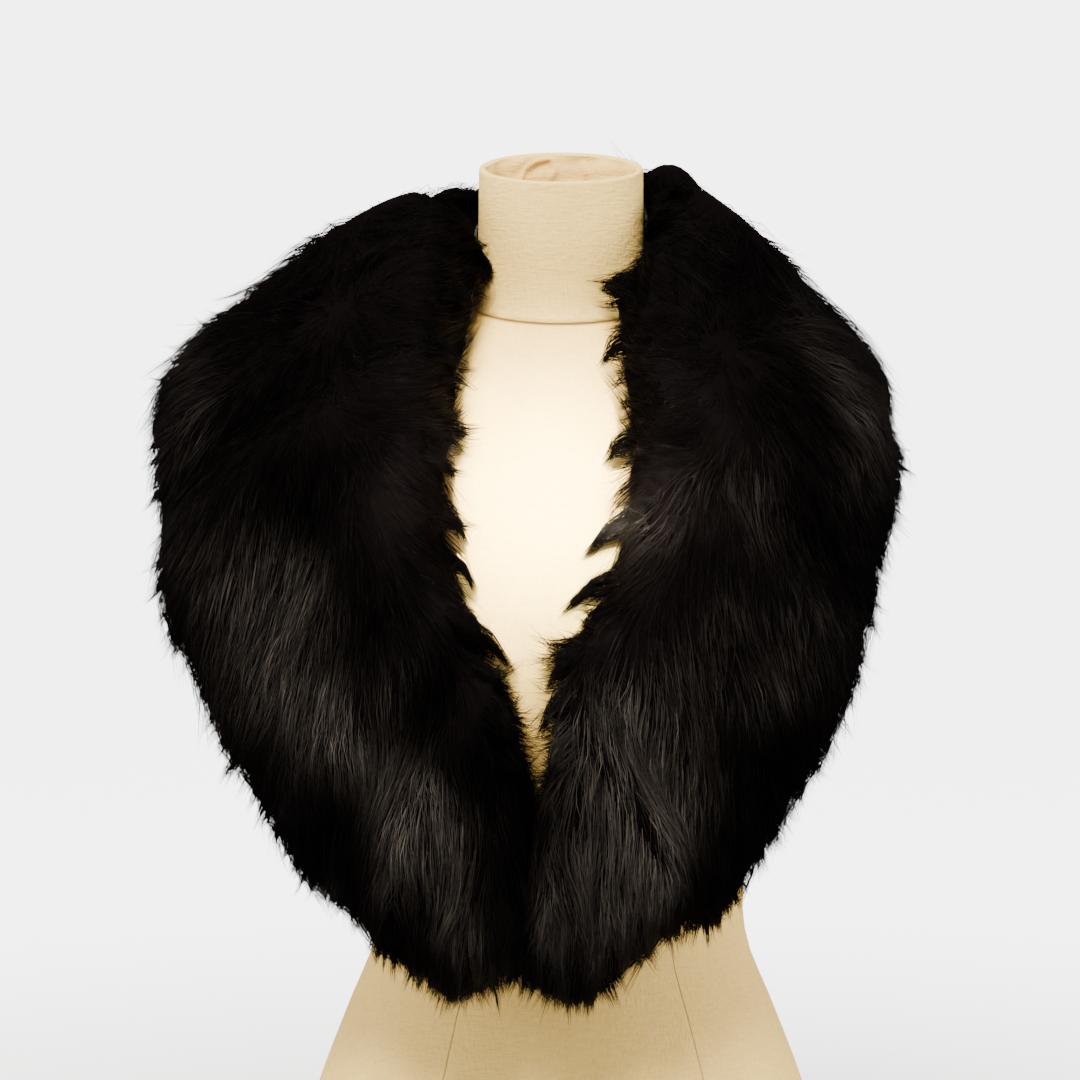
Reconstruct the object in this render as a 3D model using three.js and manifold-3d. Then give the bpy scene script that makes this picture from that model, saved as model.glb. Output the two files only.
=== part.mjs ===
// A black fur collar stole, worn round the neck of a linen covered dress form.
// Units are millimetres. +Z is up and -Y is the front. The origin is the middle of the form's underside.
// The stole is a thick wall: its inner side is the skin, and its outer side is as far as the fur reaches.
import * as THREE from "three";
import { mergeVertices } from "three/addons/utils/BufferGeometryUtils.js";
import Module from "manifold-3d";

const wasm = await Module();
wasm.setup();

// Driving sizes of the dress form.
const wall = 4;
const neckSeamLevel = 640;
const neckTopLevel = 727;
const seamGap = 0.4;
const boardThickness = 12;
const boardPlay = 0.5;
const sideSeamGap = 0.4;
const formSides = 36;
const rimRoll = 1.6;

// The form's level sections: half width, depth to the front and to the back of the mid line,
// where the mid line lies, how square the section is, and how much it rises towards the back.
const formRows = [
  { level: 0, half: 171, front: 101, back: 117, mid: 0, power: 2.2, rise: 0 },
  { level: 50, half: 176, front: 107, back: 122, mid: 0, power: 2.2, rise: 0 },
  { level: 95, half: 169, front: 108, back: 119, mid: 0, power: 2.2, rise: 0 },
  { level: 136, half: 157, front: 106, back: 112, mid: 0, power: 2.2, rise: 0 },
  { level: 188, half: 137, front: 98, back: 100, mid: 0, power: 2.15, rise: 0 },
  { level: 222, half: 123, front: 90, back: 91, mid: 0, power: 2.1, rise: 0 },
  { level: 252, half: 119, front: 87, back: 87, mid: 0, power: 2.1, rise: 0 },
  { level: 300, half: 126, front: 94, back: 90, mid: 0, power: 2.1, rise: 0 },
  { level: 360, half: 139, front: 111, back: 97, mid: 0, power: 2.15, rise: 0 },
  { level: 425, half: 148, front: 125, back: 103, mid: 0, power: 2.2, rise: 0 },
  { level: 480, half: 152, front: 115, back: 107, mid: 0, power: 2.25, rise: 0 },
  { level: 530, half: 158, front: 97, back: 107, mid: 2, power: 2.3, rise: 0 },
  { level: 565, half: 163, front: 83, back: 97, mid: 4, power: 2.3, rise: 0.04 },
  { level: 586, half: 157, front: 76, back: 88, mid: 6, power: 2.25, rise: 0.09 },
  { level: 600, half: 135, front: 70, back: 80, mid: 7, power: 2.15, rise: 0.14 },
  { level: 614, half: 106, front: 62, back: 71, mid: 8, power: 2.05, rise: 0.19 },
  { level: 627, half: 78, front: 55, back: 62, mid: 8, power: 2, rise: 0.23 },
  { level: 640, half: 59, front: 49, back: 55, mid: 8, power: 2, rise: 0.26 },
  { level: 655, half: 55, front: 47, back: 51, mid: 7, power: 2, rise: 0.26 },
  { level: 690, half: 53.5, front: 48, back: 50, mid: 4, power: 2, rise: 0.24 },
  { level: 727, half: 53, front: 49, back: 49, mid: 2, power: 2, rise: 0.22 },
];

// Driving sizes of the stole.
const ringCount = 88;
const columnCount = 16;
const edgeCrowd = 0.25;
const skinClearance = 0.5;
const normalReach = 3;
const closingX = -25;
const closingLevel = 278;
const closingLean = 0.13;
const closingGap = 0.4;
const frontClear = 40;
const outerLift = 0.22;
const neckLift = 0.08;
const neckRound = 4;
const outerRound = 2.8;
const rag = { depth: 3, pace: 8.3, swell: 3.1, neckPhase: 2 };
const lock = { depth: 2.1, pace: 5.2, slant: 4, sway: 1.7, layers: 9, drift: 2.3 };

// The stole's sections, from the wearer's right front end, up over that shoulder, round the nape
// and down to the left front end. Each row gives where the fur ends at the neck side and at the
// outer side, how high it stands between them, and how much the skin under it arches.
const stoleRows = [
  { inX: 8, inY: -125, inZ: 330, outX: -10, outY: -120, outZ: 219, pile: 44, arch: 4 },
  { inX: -20, inY: -128, inZ: 348, outX: -54, outY: -118, outZ: 219, pile: 46, arch: 6 },
  { inX: -31, inY: -130, inZ: 388, outX: -90, outY: -112, outZ: 232, pile: 48, arch: 10 },
  { inX: -45, inY: -131, inZ: 422, outX: -124, outY: -100, outZ: 270, pile: 50, arch: 12 },
  { inX: -60, inY: -127, inZ: 464, outX: -167, outY: -80, outZ: 322, pile: 52, arch: 16 },
  { inX: -69, inY: -117, inZ: 510, outX: -201, outY: -56, outZ: 388, pile: 58, arch: 12 },
  { inX: -64, inY: -99, inZ: 556, outX: -230, outY: -34, outZ: 450, pile: 62, arch: 10 },
  { inX: -58, inY: -76, inZ: 604, outX: -237, outY: -14, outZ: 500, pile: 66, arch: 7 },
  { inX: -50, inY: -42, inZ: 650, outX: -236, outY: 4, outZ: 528, pile: 73, arch: 3 },
  { inX: -47, inY: 0, inZ: 684, outX: -226, outY: 30, outZ: 536, pile: 65, arch: 3 },
  { inX: -42, inY: 34, inZ: 702, outX: -191, outY: 76, outZ: 520, pile: 51, arch: 2 },
  { inX: -27, inY: 58, inZ: 714, outX: -116, outY: 112, outZ: 496, pile: 46, arch: 4 },
  { inX: 0, inY: 64, inZ: 719, outX: 0, outY: 124, outZ: 482, pile: 46, arch: 2 },
  { inX: 28, inY: 58, inZ: 719, outX: 112, outY: 112, outZ: 494, pile: 44, arch: 4 },
  { inX: 46, inY: 34, inZ: 712, outX: 170, outY: 74, outZ: 516, pile: 44, arch: 6 },
  { inX: 47, inY: 0, inZ: 694, outX: 186, outY: 28, outZ: 519, pile: 50, arch: 12 },
  { inX: 41, inY: -44, inZ: 656, outX: 193, outY: 0, outZ: 510, pile: 50, arch: 11 },
  { inX: 36, inY: -78, inZ: 604, outX: 192, outY: -18, outZ: 480, pile: 48, arch: 9 },
  { inX: 38, inY: -102, inZ: 546, outX: 177, outY: -38, outZ: 420, pile: 51, arch: 9 },
  { inX: 33, inY: -120, inZ: 490, outX: 140, outY: -60, outZ: 349, pile: 50, arch: 14 },
  { inX: 14, inY: -130, inZ: 440, outX: 92, outY: -90, outZ: 275, pile: 50, arch: 12 },
  { inX: 2, inY: -131, inZ: 402, outX: 62, outY: -104, outZ: 260, pile: 50, arch: 10 },
  { inX: -2, inY: -129, inZ: 370, outX: 24, outY: -116, outZ: 228, pile: 48, arch: 6 },
  { inX: -16, inY: -127, inZ: 338, outX: -24, outY: -120, outZ: 219, pile: 46, arch: 4 },
  { inX: -46, inY: -125, inZ: 326, outX: -50, outY: -120, outZ: 219, pile: 44, arch: 4 },
];
const backSeams = [9.6, 14.4];
const seamHalf = 0.0075;
const seamRoom = 0.08;

// The longest tufts of the edges: the side and row place of each, its reach and its spread in rows.
const tufts = [
  { side: "out", at: 1.4, reach: 15, spread: 0.4 },
  { side: "out", at: 2.5, reach: 4, spread: 0.3 },
  { side: "out", at: 20.3, reach: 12, spread: 0.3 },
  { side: "out", at: 22.3, reach: 19, spread: 0.4 },
  { side: "in", at: 16.3, reach: 14, spread: 0.35 },
  { side: "in", at: 20.2, reach: 14, spread: 0.35 },
  { side: "in", at: 14, reach: 9, spread: 0.5 },
  { side: "in", at: 11.9, reach: 8, spread: 0.4 },
];

// A smooth value between a table's rows: a cubic through them, on the column named across.
function smooth(rows, across, name, at) {
  const last = rows.length - 1;
  const place = (i) => (across ? rows[i][across] : i);
  let i = 0;
  while (i < last - 1 && at > place(i + 1)) i += 1;
  const slope = (k) => {
    const before = Math.max(k - 1, 0);
    const after = Math.min(k + 1, last);
    return (rows[after][name] - rows[before][name]) / (place(after) - place(before));
  };
  const span = place(i + 1) - place(i);
  const t = Math.min(1, Math.max(0, (at - place(i)) / span));
  const t2 = t * t;
  const t3 = t2 * t;
  return (
    (2 * t3 - 3 * t2 + 1) * rows[i][name] +
    (t3 - 2 * t2 + t) * span * slope(i) +
    (3 * t2 - 2 * t3) * rows[i + 1][name] +
    (t3 - t2) * span * slope(i + 1)
  );
}

// The form's section at a level.
function formSection(level) {
  const read = (name) => smooth(formRows, "level", name, level);
  return {
    half: read("half"),
    front: read("front"),
    back: read("back"),
    mid: read("mid"),
    power: read("power"),
    rise: read("rise"),
  };
}

// A point of the form's outer surface, at a level and a share of the way round it.
function formPoint(level, turn) {
  const s = formSection(level);
  const c = Math.cos(turn * 2 * Math.PI);
  const v = Math.sin(turn * 2 * Math.PI);
  const round = (x) => Math.sign(x) * Math.abs(x) ** (2 / s.power);
  const y = s.mid + round(v) * (v < 0 ? s.front : s.back);
  return new THREE.Vector3(s.half * round(c), y, level + s.rise * (y - s.mid));
}

// The same point moved in by the wall's thickness.
function formInside(level, turn, depth) {
  const step = 0.5;
  const turnStep = 0.002;
  const up = formPoint(level + step, turn).sub(formPoint(level - step, turn));
  const along = formPoint(level, turn + turnStep).sub(formPoint(level, turn - turnStep));
  const normal = along.cross(up).normalize();
  return formPoint(level, turn).addScaledVector(normal, -depth);
}

// How far out a point is as a share of the form's section there: under 1 inside the form.
function formShare(p) {
  let level = p.z;
  for (let k = 0; k < 4; k += 1) {
    const s = formSection(level);
    level = p.z - s.rise * (p.y - s.mid);
  }
  const s = formSection(level);
  const depth = p.y < s.mid ? s.front : s.back;
  return (Math.abs(p.x / s.half) ** s.power + Math.abs((p.y - s.mid) / depth) ** s.power) ** (1 / s.power);
}

// How far a point is from the form's surface, and which way is straight out of it there.
function outOfForm(p) {
  const step = 0.5;
  const slopeAlong = (x, y, z) =>
    (formShare(new THREE.Vector3(p.x + x, p.y + y, p.z + z)) -
      formShare(new THREE.Vector3(p.x - x, p.y - y, p.z - z))) /
    (2 * step);
  const slope = new THREE.Vector3(slopeAlong(step, 0, 0), slopeAlong(0, step, 0), slopeAlong(0, 0, step));
  const steep = Math.max(slope.length(), 1e-6);
  return { distance: (formShare(p) - 1) / steep, way: slope.divideScalar(steep) };
}

// Moves the skin's points out until its facets, not only its points, are clear of the form.
function settle(rows) {
  const passes = 10;
  const clear = (corners) => {
    const middle = new THREE.Vector3();
    for (const corner of corners) middle.addScaledVector(corner, 1 / corners.length);
    const { distance, way } = outOfForm(middle);
    if (distance >= skinClearance) return;
    for (const corner of corners) corner.addScaledVector(way, skinClearance - distance);
  };
  for (let pass = 0; pass < passes; pass += 1) {
    for (let i = 0; i < rows.length; i += 1) {
      for (let j = 0; j <= columnCount; j += 1) {
        clear([rows[i][j]]);
        if (j < columnCount) clear([rows[i][j], rows[i][j + 1]]);
        if (i + 1 === rows.length) continue;
        clear([rows[i][j], rows[i + 1][j]]);
        if (j === columnCount) continue;
        clear([rows[i][j], rows[i + 1][j + 1]]);
        clear([rows[i][j + 1], rows[i + 1][j]]);
      }
    }
  }
  return rows;
}

// A mesh from rings of points, each joined to the next and the last to the first.
function ringMesh(rings) {
  const across = rings[0].length;
  const positions = rings.flat().flatMap((p) => [p.x, p.y, p.z]);
  const index = [];
  for (let i = 0; i < rings.length; i += 1) {
    const here = i * across;
    const next = ((i + 1) % rings.length) * across;
    for (let j = 0; j < across; j += 1) {
      const k = (j + 1) % across;
      index.push(here + j, here + k, next + j, here + k, next + k, next + j);
    }
  }
  return { positions, index };
}

// The form's own levels between two ends, each with the level halfway to the next if finer.
function levelsBetween(low, high, finer) {
  const inside = formRows.map((row) => row.level).filter((level) => level > low + 1 && level < high - 1);
  const levels = [low, ...inside, high];
  if (!finer) return levels;
  return levels.flatMap((level, i) => (i === 0 ? [level] : [(level + levels[i - 1]) / 2, level]));
}

function geometryOf({ positions, index }) {
  const geometry = new THREE.BufferGeometry();
  geometry.setAttribute("position", new THREE.Float32BufferAttribute(positions, 3));
  geometry.setIndex(index);
  return geometry;
}

function named(name, geometry, material) {
  geometry.computeVertexNormals();
  const mesh = new THREE.Mesh(geometry, material);
  mesh.name = name;
  return mesh;
}

// A tube of the form's wall, up the outside and down the inside, with a rolled top edge if asked.
function formTube(outerLevels, innerLevels, roll) {
  const ring = (make) => Array.from({ length: formSides }, (_, j) => make(j / formSides));
  const rings = outerLevels.map((level) => ring((turn) => formPoint(level, turn)));
  if (roll) {
    const top = outerLevels.at(-1);
    rings.push(ring((turn) => formInside(top, turn, wall / 2).add(new THREE.Vector3(0, 0, roll))));
  }
  for (const level of innerLevels.toReversed()) {
    const inside = (turn) => formInside(level, turn, wall);
    rings.push(ring(level === 0 ? (turn) => inside(turn).setZ(0) : inside));
  }
  return ringMesh(rings);
}

// The torso's front and back shells, parted by a thin gap along the side seams.
function torsoShells(tube) {
  const slab = wasm.Manifold.cube([1000, sideSeamGap, 2000], true);
  const shells = solidOf(tube).subtract(slab).decompose();
  return shells.sort((a, b) => a.boundingBox().min[1] - b.boundingBox().min[1]).map(geometryOfSolid);
}

function baseBoard() {
  const outline = Array.from({ length: formSides }, (_, j) => {
    const p = formInside(0, j / formSides, wall + boardPlay);
    return new THREE.Vector2(p.x, p.y);
  });
  return new THREE.ExtrudeGeometry(new THREE.Shape(outline), {
    depth: boardThickness,
    bevelEnabled: false,
    steps: 1,
  });
}

// The stole's skin at a row place: its edges, and the way across and out of it.
function skinFrame(at) {
  const read = (name, where) => smooth(stoleRows, null, name, where);
  const edge = (side, where) =>
    new THREE.Vector3(read(side + "X", where), read(side + "Y", where), read(side + "Z", where));
  const middle = (where) => edge("in", where).add(edge("out", where)).multiplyScalar(0.5);
  const step = 0.02;
  const inner = edge("in", at);
  const outer = edge("out", at);
  const across = outer.clone().sub(inner);
  const along = middle(at + step).sub(middle(at - step)).normalize();
  const out = along.clone().cross(across).normalize();
  return { inner, outer, across, along, out, read: (name) => read(name, at) };
}

// How far the fur's edge stands out past its even line: the tufts, and a ragged wave between them.
function edgeReach(side, at) {
  const phase = side === "in" ? rag.neckPhase : 0;
  let reach = rag.depth * Math.sin(at * rag.pace + 1) * Math.sin(at * rag.swell + phase);
  for (const tuft of tufts) {
    if (tuft.side === side) reach += tuft.reach * Math.exp(-(((at - tuft.at) / tuft.spread) ** 2));
  }
  return reach;
}

// The rise and fall of the fur's broad locks, which slant down from the neck side.
function lockHeight(at, share) {
  const across = Math.sin(at * lock.pace + share * lock.slant + Math.sin(at * lock.sway));
  const along = Math.sin(share * lock.layers - at * lock.drift);
  return lock.depth * (across + along);
}

// The skin's points across the stole at a row place, before it settles on the form.
function skinRow(at) {
  const f = skinFrame(at);
  const way = f.across.clone().normalize();
  const arch = f.read("arch");
  const start = -edgeReach("in", at);
  const end = f.across.length() + edgeReach("out", at);
  return Array.from({ length: columnCount + 1 }, (_, j) => {
    const side = -Math.cos((j / columnCount) * Math.PI);
    const share = (side * (1 - edgeCrowd) + side ** 3 * edgeCrowd + 1) / 2;
    const p = f.inner.clone().addScaledVector(way, start + share * (end - start));
    return p.addScaledVector(f.out, arch * 4 * share * (1 - share));
  });
}

// The closed section of the stole over a row of skin points, as pairs of an inner and an outer point.
function stoleSection(skin, at) {
  const f = skinFrame(at);
  const pile = f.read("pile");
  return skin.map((p, j) => {
    const before = skin[Math.max(j - normalReach, 0)];
    const after = skin[Math.min(j + normalReach, columnCount)];
    const normal = f.along.clone().cross(after.clone().sub(before)).normalize();
    const side = Math.abs((2 * j) / columnCount - 1);
    const neckSide = j * 2 < columnCount;
    const crown = Math.sqrt(1 - side ** (neckSide ? neckRound : outerRound));
    const lift = (neckSide ? neckLift : outerLift) * pile * side ** 10;
    const height = (pile - lift + lockHeight(at, j / columnCount)) * crown;
    return {
      inner: p.clone().addScaledVector(normal, lift),
      outer: p.clone().addScaledVector(normal, lift + height),
    };
  });
}

// Row places with rings evenly spaced along the middle of the stole.
function evenPlaces(count) {
  const fine = 400;
  const last = stoleRows.length - 1;
  const lengths = [0];
  let before = null;
  for (let i = 0; i <= fine; i += 1) {
    const f = skinFrame((last * i) / fine);
    const middle = f.inner.clone().add(f.outer).multiplyScalar(0.5);
    if (before) lengths.push(lengths[i - 1] + middle.distanceTo(before));
    before = middle;
  }
  return Array.from({ length: count }, (_, k) => {
    const want = (lengths[fine] * k) / (count - 1);
    let i = 0;
    while (i < fine - 1 && lengths[i + 1] < want) i += 1;
    const share = (want - lengths[i]) / (lengths[i + 1] - lengths[i]);
    return (last * (i + share)) / fine;
  });
}

// One piece of the stole over its own sections, closed at both ends.
function stolePiece(sections) {
  const across = 2 * columnCount;
  const positions = [];
  for (const section of sections) {
    for (let j = 0; j <= columnCount; j += 1) positions.push(...section[j].outer.toArray());
    for (let j = columnCount - 1; j > 0; j -= 1) positions.push(...section[j].inner.toArray());
  }
  const index = [];
  for (let i = 0; i < sections.length - 1; i += 1) {
    const here = i * across;
    const next = here + across;
    for (let j = 0; j < across; j += 1) {
      const k = (j + 1) % across;
      index.push(here + j, next + j, here + k, here + k, next + j, next + k);
    }
  }
  const last = (sections.length - 1) * across;
  const under = (j) => (across - j) % across;
  for (let j = 0; j < columnCount; j += 1) {
    const corners = [j, j + 1, under(j + 1), under(j)];
    if (j === 0) corners.pop();
    if (j === columnCount - 1) corners.splice(2, 1);
    for (let k = 1; k < corners.length - 1; k += 1) {
      index.push(corners[0], corners[k], corners[k + 1]);
      index.push(last + corners[0], last + corners[k + 1], last + corners[k]);
    }
  }
  return { positions, index };
}

function solidOf({ positions, index }) {
  const merged = mergeVertices(geometryOf({ positions, index }), 1e-4);
  return new wasm.Manifold(
    new wasm.Mesh({
      numProp: 3,
      vertProperties: new Float32Array(merged.attributes.position.array),
      triVerts: new Uint32Array(merged.index.array),
    }),
  );
}

function geometryOfSolid(solid) {
  const mesh = solid.getMesh();
  return geometryOf({ positions: Array.from(mesh.vertProperties), index: Array.from(mesh.triVerts) });
}

// A block that fills the space on one side of the leaning line where the two fronts meet.
function beyondClosing(side) {
  const reach = 400;
  const box = new THREE.BoxGeometry(reach, reach, 2 * reach);
  box.translate(side * (reach / 2 - closingGap / 2), 0, 0);
  box.rotateY(closingLean);
  box.translate(closingX, -reach / 2 - frontClear, closingLevel);
  box.deleteAttribute("normal");
  box.deleteAttribute("uv");
  const merged = mergeVertices(box, 1e-4);
  return solidOf({
    positions: Array.from(merged.attributes.position.array),
    index: Array.from(merged.index.array),
  });
}

function stoleFront(sections, side) {
  return geometryOfSolid(solidOf(stolePiece(sections)).subtract(beyondClosing(side)));
}

const linen = new THREE.MeshStandardMaterial({ color: 0xe9dcb8, roughness: 0.85, metalness: 0 });
const board = new THREE.MeshStandardMaterial({ color: 0xb59a6a, roughness: 0.7, metalness: 0 });
const fur = new THREE.MeshStandardMaterial({ color: 0x100d0c, roughness: 0.6, metalness: 0 });

const neckLevels = levelsBetween(neckSeamLevel + seamGap / 2, neckTopLevel, true);
const torsoOuterLevels = levelsBetween(0, neckSeamLevel - seamGap / 2, true);
const torsoInnerLevels = levelsBetween(0, neckSeamLevel - seamGap / 2, false);
const nearSeam = (at) => backSeams.some((seam) => Math.abs(at - seam) < seamRoom);
const places = evenPlaces(ringCount).filter((at) => !nearSeam(at));
for (const seam of backSeams) places.push(seam - seamHalf, seam + seamHalf);
places.sort((a, b) => a - b);
const skin = settle(places.map(skinRow));
const sectionsBetween = (from, to) =>
  places.flatMap((at, i) => (at > from && at < to ? [stoleSection(skin[i], at)] : []));
const [rightSeam, leftSeam] = backSeams;
const [torsoFront, torsoBack] = torsoShells(formTube(torsoOuterLevels, torsoInnerLevels, 0));

const group = new THREE.Group();
group.add(
  named("form_neck", geometryOf(formTube(neckLevels, neckLevels, rimRoll)), linen),
  named("form_torso_front", torsoFront, linen),
  named("form_torso_back", torsoBack, linen),
  named("form_base_board", baseBoard(), board),
  named("fur_front_right", stoleFront(sectionsBetween(-1, rightSeam), 1), fur),
  named("fur_back", geometryOf(stolePiece(sectionsBetween(rightSeam, leftSeam))), fur),
  named("fur_front_left", stoleFront(sectionsBetween(leftSeam, Infinity), -1), fur),
);

export default group;
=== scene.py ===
import math
import bpy
import numpy as np
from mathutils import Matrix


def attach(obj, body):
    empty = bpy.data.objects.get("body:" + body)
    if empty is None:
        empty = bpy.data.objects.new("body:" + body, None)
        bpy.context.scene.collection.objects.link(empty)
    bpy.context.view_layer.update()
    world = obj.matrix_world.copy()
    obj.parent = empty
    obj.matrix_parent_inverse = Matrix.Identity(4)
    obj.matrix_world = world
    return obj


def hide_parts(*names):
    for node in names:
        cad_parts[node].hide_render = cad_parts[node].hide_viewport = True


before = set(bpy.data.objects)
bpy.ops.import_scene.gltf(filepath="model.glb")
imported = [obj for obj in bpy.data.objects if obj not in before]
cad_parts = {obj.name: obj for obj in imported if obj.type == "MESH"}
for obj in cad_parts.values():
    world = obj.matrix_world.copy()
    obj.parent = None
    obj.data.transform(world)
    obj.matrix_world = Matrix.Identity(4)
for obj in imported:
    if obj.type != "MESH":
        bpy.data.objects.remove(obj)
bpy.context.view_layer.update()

# Units are metres. The tables below are in millimetres, as a tailor would write them.
mm = 0.001

# The dress form's level sections: half width, depth to the front and back of its mid line,
# where the mid line lies, how square the section is and how much it rises to the back.
formColumns = ("level", "half", "front", "back", "mid", "power", "rise")
formRows = np.array([
    (0, 171, 101, 117, 0, 2.2, 0),
    (50, 176, 107, 122, 0, 2.2, 0),
    (95, 169, 108, 119, 0, 2.2, 0),
    (136, 157, 106, 112, 0, 2.2, 0),
    (188, 137, 98, 100, 0, 2.15, 0),
    (222, 123, 90, 91, 0, 2.1, 0),
    (252, 119, 87, 87, 0, 2.1, 0),
    (300, 126, 94, 90, 0, 2.1, 0),
    (360, 139, 111, 97, 0, 2.15, 0),
    (425, 148, 125, 103, 0, 2.2, 0),
    (480, 152, 115, 107, 0, 2.25, 0),
    (530, 158, 97, 107, 2, 2.3, 0),
    (565, 163, 83, 97, 4, 2.3, 0.04),
    (586, 157, 76, 88, 6, 2.25, 0.09),
    (600, 135, 70, 80, 7, 2.15, 0.14),
    (614, 106, 62, 71, 8, 2.05, 0.19),
    (627, 78, 55, 62, 8, 2, 0.23),
    (640, 59, 49, 55, 8, 2, 0.26),
    (655, 55, 47, 51, 7, 2, 0.26),
    (690, 53.5, 48, 50, 4, 2, 0.24),
    (727, 53, 49, 49, 2, 2, 0.22),
])

# The stole's sections, from the wearer's right front end over the nape to the left one: where the
# fur ends at the neck side and at the outer side, how high it stands and how much its skin arches.
stoleColumns = ("inX", "inY", "inZ", "outX", "outY", "outZ", "pile", "arch")
stoleRows = np.array([
    (8, -125, 330, -10, -120, 219, 44, 4),
    (-20, -128, 348, -54, -118, 219, 46, 6),
    (-31, -130, 388, -90, -112, 232, 48, 10),
    (-45, -131, 422, -124, -100, 270, 50, 12),
    (-60, -127, 464, -167, -80, 322, 52, 16),
    (-69, -117, 510, -201, -56, 388, 58, 12),
    (-64, -99, 556, -230, -34, 450, 62, 10),
    (-58, -76, 604, -237, -14, 500, 66, 7),
    (-50, -42, 650, -236, 4, 528, 73, 3),
    (-47, 0, 684, -226, 30, 536, 65, 3),
    (-42, 34, 702, -191, 76, 520, 51, 2),
    (-27, 58, 714, -116, 112, 496, 46, 4),
    (0, 64, 719, 0, 124, 482, 46, 2),
    (28, 58, 719, 112, 112, 494, 44, 4),
    (46, 34, 712, 170, 74, 516, 44, 6),
    (47, 0, 694, 186, 28, 519, 50, 12),
    (41, -44, 656, 193, 0, 510, 50, 11),
    (36, -78, 604, 192, -18, 480, 48, 9),
    (38, -102, 546, 177, -38, 420, 51, 9),
    (33, -120, 490, 140, -60, 349, 50, 14),
    (14, -130, 440, 92, -90, 275, 50, 12),
    (2, -131, 402, 62, -104, 260, 50, 10),
    (-2, -129, 370, 24, -116, 228, 48, 6),
    (-16, -127, 338, -24, -120, 219, 46, 4),
    (-46, -125, 326, -50, -120, 219, 44, 4),
])
stolePlaces = np.arange(len(stoleRows), dtype=float)

# The longest tufts of the edges: row place, reach and spread, for the outer and the neck side.
outerTufts = ((1.4, 15, 0.4), (2.5, 4, 0.3), (20.3, 12, 0.3), (22.3, 19, 0.4))
neckTufts = ((16.3, 14, 0.35), (20.2, 14, 0.35), (14, 9, 0.5), (11.9, 8, 0.4))


def say(text):
    print("stage:", text, flush=True)


def unit(v):
    return v / np.maximum(np.linalg.norm(v, axis=-1, keepdims=True), 1e-12)


# A bell: one at zero, and next to nothing from two on.
def bell(x):
    return np.exp(-(x**2))


# A cubic through the table's rows: each row's slope is the line between its two neighbours.
def smooth(places, values, at):
    last = len(places) - 1
    before = np.maximum(np.arange(last + 1) - 1, 0)
    after = np.minimum(np.arange(last + 1) + 1, last)
    slopes = (values[after] - values[before]) / (places[after] - places[before])
    i = np.clip(np.searchsorted(places, at, side="right") - 1, 0, last - 1)
    span = places[i + 1] - places[i]
    t = np.clip((at - places[i]) / span, 0, 1)
    return (
        (2 * t**3 - 3 * t**2 + 1) * values[i]
        + (t**3 - 2 * t**2 + t) * span * slopes[i]
        + (3 * t**2 - 2 * t**3) * values[i + 1]
        + (t**3 - t**2) * span * slopes[i + 1]
    )


def formRead(name, level):
    return smooth(formRows[:, 0], formRows[:, formColumns.index(name)], level)


def stoleRead(name, at):
    return smooth(stolePlaces, stoleRows[:, stoleColumns.index(name)], at)


# A superellipse: x and y are cosine and sine raised to 2 / power, and z rises with y.
def formPoint(level, turn):
    c = np.cos(turn * 2 * np.pi)
    v = np.sin(turn * 2 * np.pi)
    bend = 2 / formRead("power", level)
    mid = formRead("mid", level)
    depth = np.where(v < 0, formRead("front", level), formRead("back", level))
    x = formRead("half", level) * np.sign(c) * np.abs(c) ** bend
    y = mid + depth * np.sign(v) * np.abs(v) ** bend
    return np.stack([x, y, level + formRead("rise", level) * (y - mid)], axis=-1)


# How far out a point is as a share of the form's section at its level.
def formShare(p):
    level = p[..., 2]
    for _ in range(4):
        level = p[..., 2] - formRead("rise", level) * (p[..., 1] - formRead("mid", level))
    mid = formRead("mid", level)
    power = formRead("power", level)
    depth = np.where(p[..., 1] < mid, formRead("front", level), formRead("back", level))
    wide = np.abs(p[..., 0] / formRead("half", level)) ** power
    return (wide + np.abs((p[..., 1] - mid) / depth) ** power) ** (1 / power)


# Distance is the share past 1 divided by how fast the share grows, and the way out is its slope.
def outOfForm(p):
    step = 0.5
    slope = np.stack(
        [(formShare(p + step * axis) - formShare(p - step * axis)) / (2 * step) for axis in np.eye(3)],
        axis=-1,
    )
    steep = np.maximum(np.linalg.norm(slope, axis=-1), 1e-6)
    return (formShare(p) - 1) / steep, slope / steep[..., None]


# Points nearer to the form than the clearance are moved out to it.
def outOf(points, clearance):
    distance, way = outOfForm(points)
    return points + way * np.maximum(clearance - distance, 0)[..., None]


# A closed mesh from arrays of points and faces, smooth shaded, with named values on its points.
def makeMesh(name, points, faces, values=None, uv=None):
    mesh = bpy.data.meshes.new(name)
    sides = faces.shape[1]
    mesh.vertices.add(len(points))
    mesh.vertices.foreach_set("co", (points * mm).astype(np.float32).ravel())
    mesh.loops.add(faces.size)
    mesh.loops.foreach_set("vertex_index", faces.astype(np.int32).ravel())
    mesh.polygons.add(len(faces))
    mesh.polygons.foreach_set("loop_start", np.arange(len(faces), dtype=np.int32) * sides)
    mesh.polygons.foreach_set("use_smooth", np.ones(len(faces), dtype=bool))
    for key, value in (values or {}).items():
        layer = mesh.attributes.new(key, "FLOAT", "POINT")
        layer.data.foreach_set("value", value.astype(np.float32).ravel())
    if uv is not None:
        layer = mesh.uv_layers.new(name="cloth")
        layer.data.foreach_set("uv", uv[faces.ravel()].astype(np.float32).ravel())
    mesh.update()
    made = bpy.data.objects.new(name, mesh)
    bpy.context.scene.collection.objects.link(made)
    return made


# Faces between rings of points: each ring joins the next one, and its last point its first.
def ringFaces(rings, across, closed):
    ring = np.arange(rings if closed else rings - 1)[:, None]
    here = np.arange(across)[None, :]
    beside = (here + 1) % across
    low = ring * across
    high = (ring + 1) % rings * across
    return np.stack([low + here, low + beside, high + beside, high + here], axis=-1).reshape(-1, 4)


# Materials

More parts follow.
